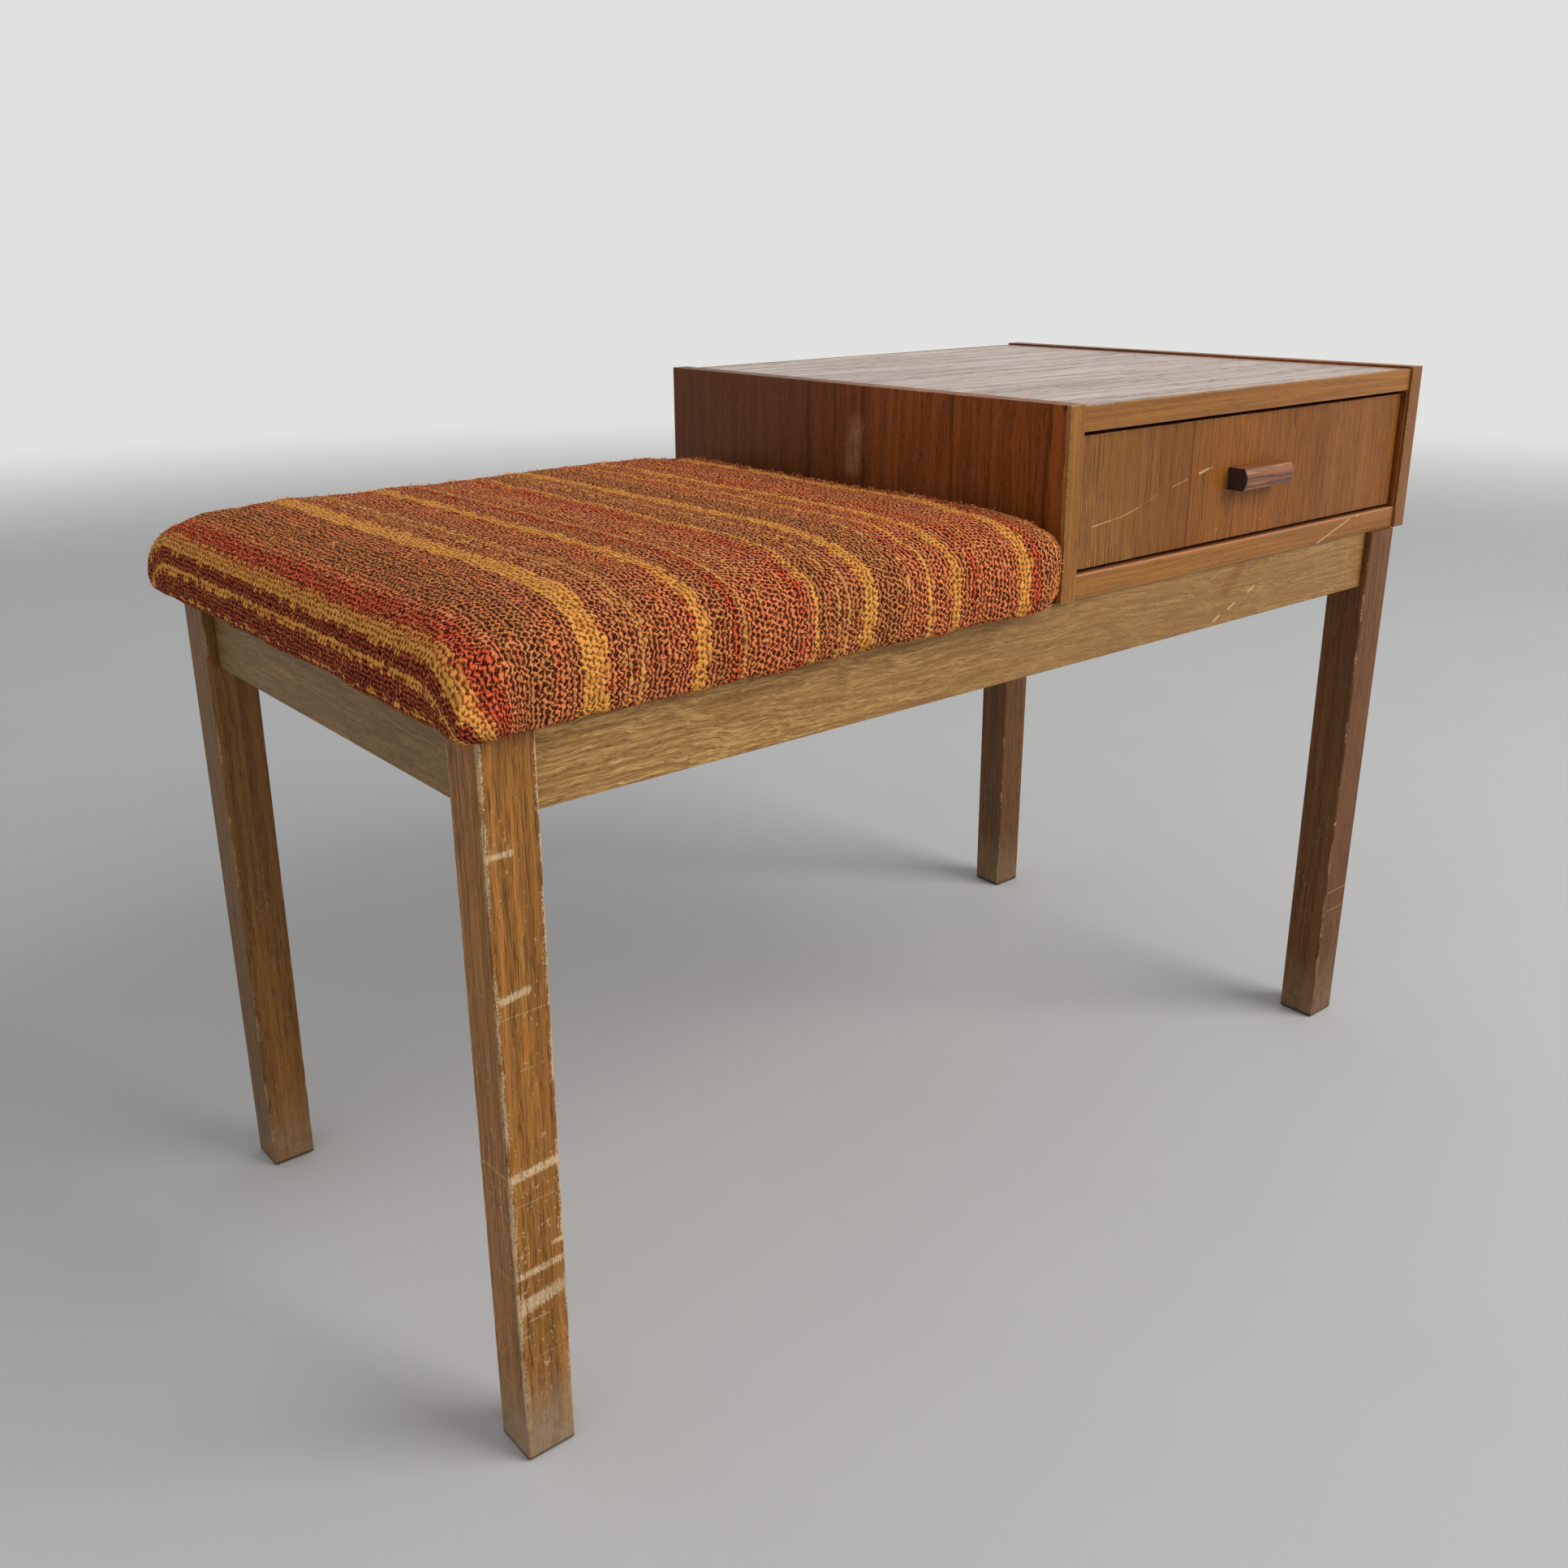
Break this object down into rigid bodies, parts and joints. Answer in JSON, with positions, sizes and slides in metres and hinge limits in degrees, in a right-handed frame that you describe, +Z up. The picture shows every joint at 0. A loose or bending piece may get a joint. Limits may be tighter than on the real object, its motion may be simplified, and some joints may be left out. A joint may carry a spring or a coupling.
{
  "type": "telephone bench",
  "caption": "Low oak bench with a padded striped seat at one end and a veneered cabinet with a sliding drawer at the other, made to sit at beside a telephone.",
  "frame": {"origin": "on the floor under the middle of the whole bench's bounding box", "axes": "+X along the bench from the seat to the cabinet, +Y to the back, +Z up; the drawer opens towards -Y"},
  "size_m": [0.831, 0.42, 0.538],
  "materials": {
    "oak_legs": "satin lacquered oak, worn at the edges",
    "oak_rails": "satin lacquered oak",
    "beech": "bare beech",
    "veneer": "satin teak veneer",
    "lipping": "satin solid teak",
    "handle_wood": "satin solid teak",
    "chipboard": "raw chipboard",
    "hardboard": "smooth hardboard",
    "foam": "open-cell foam",
    "woven_cover": "coarse woven wool, striped",
    "steel": "bright steel"
  },
  "bodies": {
    "bench": {"leg_front_left": "oak_legs", "leg_front_right": "oak_legs", "leg_back_left": "oak_legs", "leg_back_right": "oak_legs", "front_rail": "oak_rails", "back_rail": "oak_rails", "seat_end_rail": "oak_rails", "cabinet_end_rail": "oak_rails", "middle_rail": "oak_rails", "frame_dowels": "beech", "glue_blocks": "beech", "cabinet_dowels": "beech", "runner_left": "beech", "runner_right": "beech", "cabinet_left_panel": "veneer", "cabinet_right_panel": "veneer", "cabinet_top": "veneer", "cabinet_floor": "veneer", "left_panel_lipping": "lipping", "right_panel_lipping": "lipping", "top_lipping": "lipping", "floor_lipping": "lipping", "seat_board": "chipboard", "cabinet_back": "hardboard", "seat_foam": "foam", "seat_cover": "woven_cover", "block_screws": "steel", "seat_screws": "steel", "cabinet_screws": "steel", "cover_staples": "steel", "back_nails": "steel", "runner_screws": "steel"},
    "drawer": {"drawer_front": "veneer", "drawer_side_left": "beech", "drawer_side_right": "beech", "drawer_back": "beech", "drawer_bottom": "hardboard", "drawer_nails": "steel", "drawer_handle": "handle_wood", "handle_screws": "steel"}
  },
  "joints": [
    {"name": "drawer_slide", "type": "slide", "parent": "bench", "child": "drawer", "axis": [0, -1, 0], "range_m": [0, 0.26]}
  ]
}
